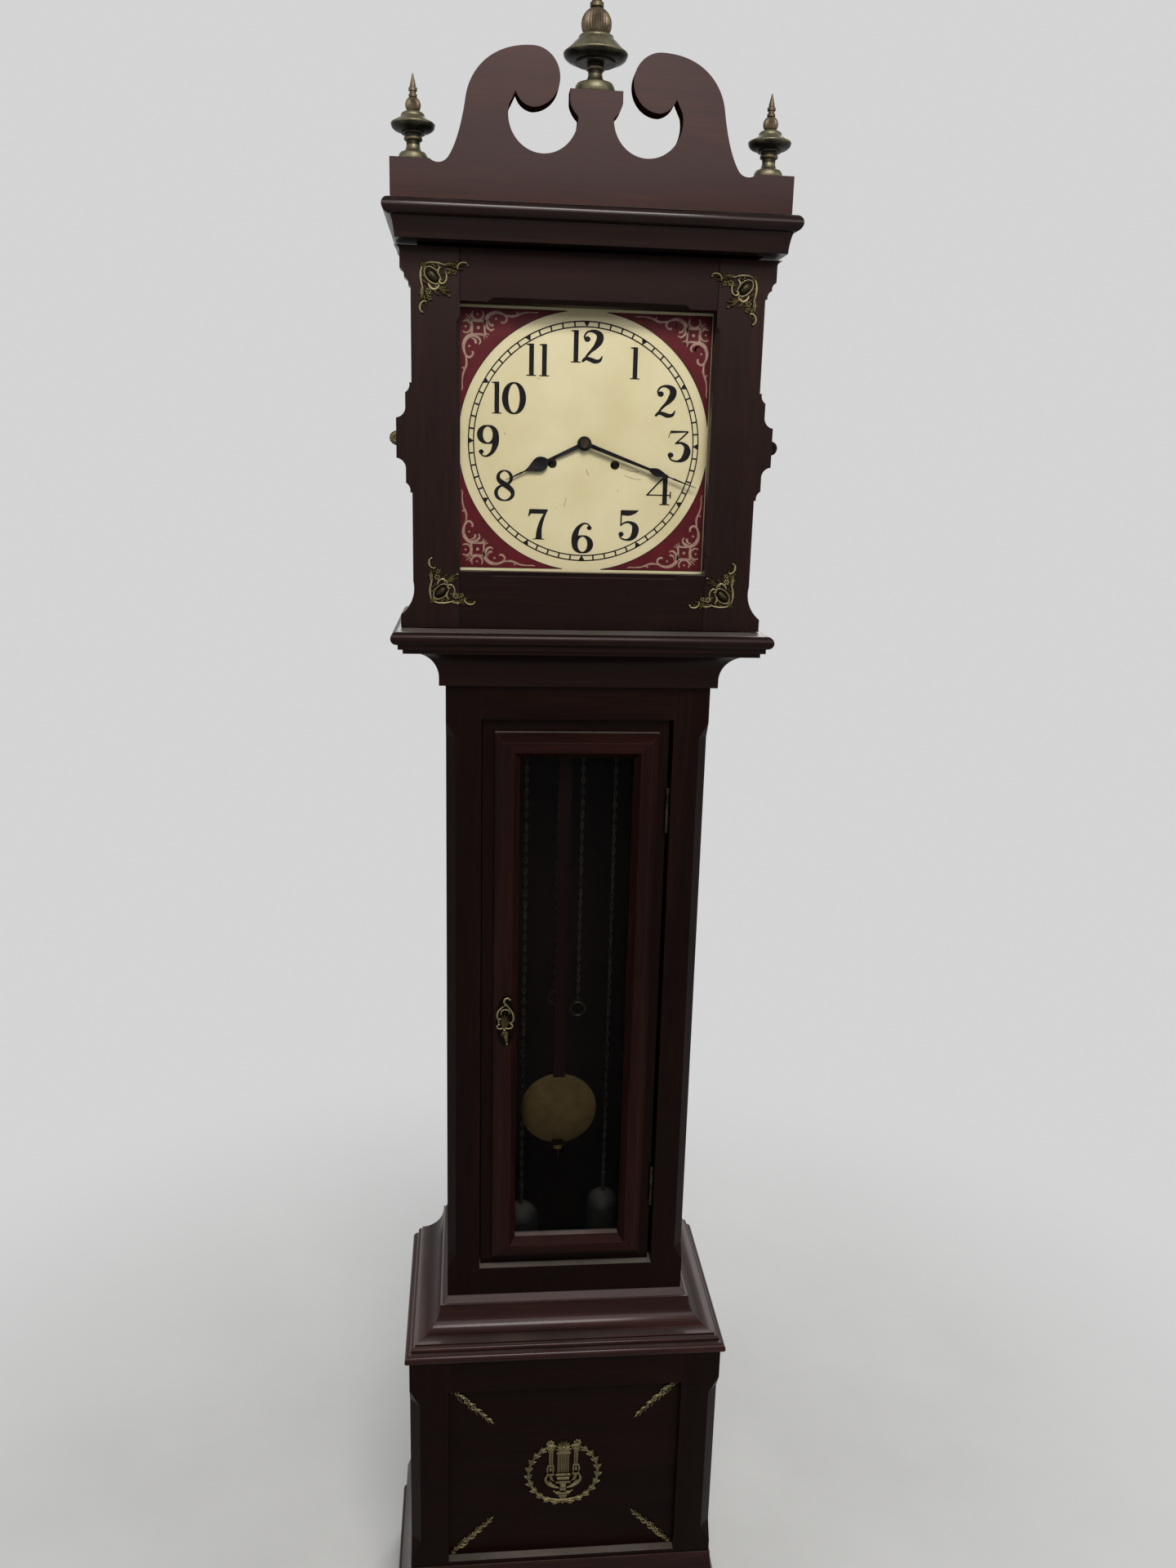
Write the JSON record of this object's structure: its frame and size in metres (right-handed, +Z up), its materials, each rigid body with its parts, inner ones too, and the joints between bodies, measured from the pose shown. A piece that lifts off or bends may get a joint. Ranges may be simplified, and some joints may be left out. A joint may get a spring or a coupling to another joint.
{
  "type": "long-case clock",
  "caption": "Mahogany long-case clock with a swan-neck pediment, square dial, glazed trunk door, brass mounts, pendulum and chain-hung weights.",
  "frame": {"origin": "middle of the footprint on the floor", "axes": "+Z up, -Y out of the dial towards the viewer, +X to the viewer's right"},
  "size_m": [0.49, 0.31, 2.2861],
  "materials": {
    "mahogany": "satin varnish",
    "inner_wood": "dull",
    "aged_brass": "aged",
    "bright_brass": "polished",
    "steel": "satin",
    "dial_paint": "satin",
    "hand_black": "satin",
    "weight_iron": "dull",
    "glass": "clear"
  },
  "bodies": {
    "case": {"base_posts": "mahogany", "base_sides": "mahogany", "base_rails": "mahogany", "base_panel": "mahogany", "plinth_skirt": "mahogany", "base_moulding": "mahogany", "waist_moulding": "mahogany", "trunk_posts": "mahogany", "trunk_sides": "mahogany", "trunk_rails": "mahogany", "shoulder_moulding": "mahogany", "hood_sides": "mahogany", "cornice_moulding": "mahogany", "pediment_board": "mahogany", "back_boards": "inner_wood", "base_bottom_board": "inner_wood", "hood_top_board": "inner_wood", "finial_blocks": "inner_wood", "seat_board": "inner_wood", "finials": "aged_brass", "base_mounts": "aged_brass", "dial_plate": "dial_paint", "movement_plates": "bright_brass", "plate_pillars": "bright_brass", "suspension_cock": "bright_brass", "strike_gong": "steel", "case_hinges": "aged_brass", "left_weight_chain": "aged_brass", "right_weight_chain": "aged_brass", "left_free_chain": "aged_brass", "right_free_chain": "aged_brass"},
    "hood_door": {"hood_door_stiles": "mahogany", "hood_door_rails": "mahogany", "hood_glass": "glass", "hood_mounts": "aged_brass", "hood_door_hinges": "aged_brass"},
    "trunk_door": {"trunk_door_frame": "mahogany", "trunk_door_moulding": "mahogany", "trunk_glass": "glass", "door_lock": "aged_brass", "trunk_door_hinges": "aged_brass"},
    "pendulum": {"pendulum_leader": "steel", "pendulum_rod": "inner_wood", "pendulum_bob": "bright_brass"},
    "anchor": {"pallet_anchor": "steel"},
    "minute_arbor": {"minute_hand": "hand_black", "center_arbor": "bright_brass"},
    "hour_pipe": {"hour_hand": "hand_black", "hour_wheel": "bright_brass"},
    "minute_wheel_body": {"minute_wheel": "bright_brass"},
    "time_great_body": {"time_great_wheel": "bright_brass"},
    "third_body": {"third_wheel": "bright_brass"},
    "escape_body": {"escape_wheel": "bright_brass"},
    "right_weight_body": {"right_weight": "weight_iron"},
    "time_sprocket_body": {"time_sprocket": "bright_brass"},
    "right_ring_body": {"right_pull_ring": "aged_brass"},
    "left_weight_body": {"left_weight": "weight_iron"},
    "strike_body": {"strike_great_wheel": "bright_brass"},
    "left_ring_body": {"left_pull_ring": "aged_brass"},
    "hammer": {"strike_hammer": "bright_brass"}
  },
  "joints": [
    {"name": "hood_door_swing", "type": "hinge", "parent": "case", "child": "hood_door", "pos_m": [0.1994, -0.0706, 1.787], "axis": [0, 0, 1], "range_deg": [0, 100]},
    {"name": "trunk_door_swing", "type": "hinge", "parent": "case", "child": "trunk_door", "pos_m": [0.1183, -0.0694, 1.064], "axis": [0, 0, 1], "range_deg": [0, 100]},
    {"name": "pendulum_swing", "type": "hinge", "parent": "case", "child": "pendulum", "pos_m": [-0.012, -0.036, 1.8473], "axis": [0, 1, 0], "range_deg": [-2.5, 2.5]},
    {"name": "anchor_rock", "type": "hinge", "parent": "case", "child": "anchor", "pos_m": [-0.012, 0.029, 1.8473], "axis": [0, 1, 0], "range_deg": [-2.5, 2.5]},
    {"name": "minute_turn", "type": "hinge", "parent": "case", "child": "minute_arbor", "pos_m": [0, -0.062, 1.792], "axis": [0, 1, 0], "continuous": true},
    {"name": "hour_turn", "type": "hinge", "parent": "case", "child": "hour_pipe", "pos_m": [0, -0.057, 1.792], "axis": [0, 1, 0], "continuous": true},
    {"name": "minute_wheel_turn", "type": "hinge", "parent": "case", "child": "minute_wheel_body", "pos_m": [0.02079, -0.049, 1.804], "axis": [0, 1, 0], "continuous": true},
    {"name": "time_great_turn", "type": "hinge", "parent": "case", "child": "time_great_body", "pos_m": [0.038, -0.02, 1.768], "axis": [0, 1, 0], "continuous": true},
    {"name": "third_turn", "type": "hinge", "parent": "case", "child": "third_body", "pos_m": [0.018, -0.006, 1.82], "axis": [0, 1, 0], "continuous": true},
    {"name": "escape_turn", "type": "hinge", "parent": "case", "child": "escape_body", "pos_m": [-0.012, 0.028, 1.824], "axis": [0, 1, 0], "continuous": true},
    {"name": "right_weight_lift", "type": "slide", "parent": "case", "child": "right_weight_body", "axis": [0, 0, 1], "range_m": [0, 0.7], "deforming": ["right_weight_chain"]},
    {"name": "right_ring_drop", "type": "slide", "parent": "case", "child": "right_ring_body", "axis": [0, 0, 1], "range_m": [-0.7, 0], "deforming": ["right_free_chain"]},
    {"name": "left_weight_lift", "type": "slide", "parent": "case", "child": "left_weight_body", "axis": [0, 0, 1], "range_m": [0, 0.7], "deforming": ["left_weight_chain"]},
    {"name": "left_ring_drop", "type": "slide", "parent": "case", "child": "left_ring_body", "axis": [0, 0, 1], "range_m": [-0.7, 0], "deforming": ["left_free_chain"]},
    {"name": "time_sprocket_turn", "type": "hinge", "parent": "case", "child": "time_sprocket_body", "pos_m": [0.038, 0.009, 1.768], "axis": [0, 1, 0], "range_deg": [-1830, 0]},
    {"name": "strike_sprocket_turn", "type": "hinge", "parent": "case", "child": "strike_body", "pos_m": [-0.038, 0.009, 1.768], "axis": [0, 1, 0], "range_deg": [0, 1830]},
    {"name": "hammer_lift", "type": "hinge", "parent": "case", "child": "hammer", "pos_m": [-0.03, 0.096, 1.745], "axis": [1, 0, 0], "range_deg": [-20, 0]}
  ],
  "couplings": [
    {"joint": "anchor_rock", "follows": "pendulum_swing", "ratio": 1},
    {"joint": "hour_turn", "follows": "minute_turn", "ratio": 0.083333},
    {"joint": "minute_wheel_turn", "follows": "minute_turn", "ratio": -0.33333},
    {"joint": "time_great_turn", "follows": "minute_turn", "ratio": -0.125},
    {"joint": "third_turn", "follows": "minute_turn", "ratio": -8},
    {"joint": "escape_turn", "follows": "minute_turn", "ratio": 60},
    {"joint": "time_sprocket_turn", "follows": "right_weight_lift", "rad_per_m": -45.455},
    {"joint": "right_ring_drop", "follows": "right_weight_lift", "ratio": -1},
    {"joint": "strike_sprocket_turn", "follows": "left_weight_lift", "rad_per_m": 45.455},
    {"joint": "left_ring_drop", "follows": "left_weight_lift", "ratio": -1}
  ]
}
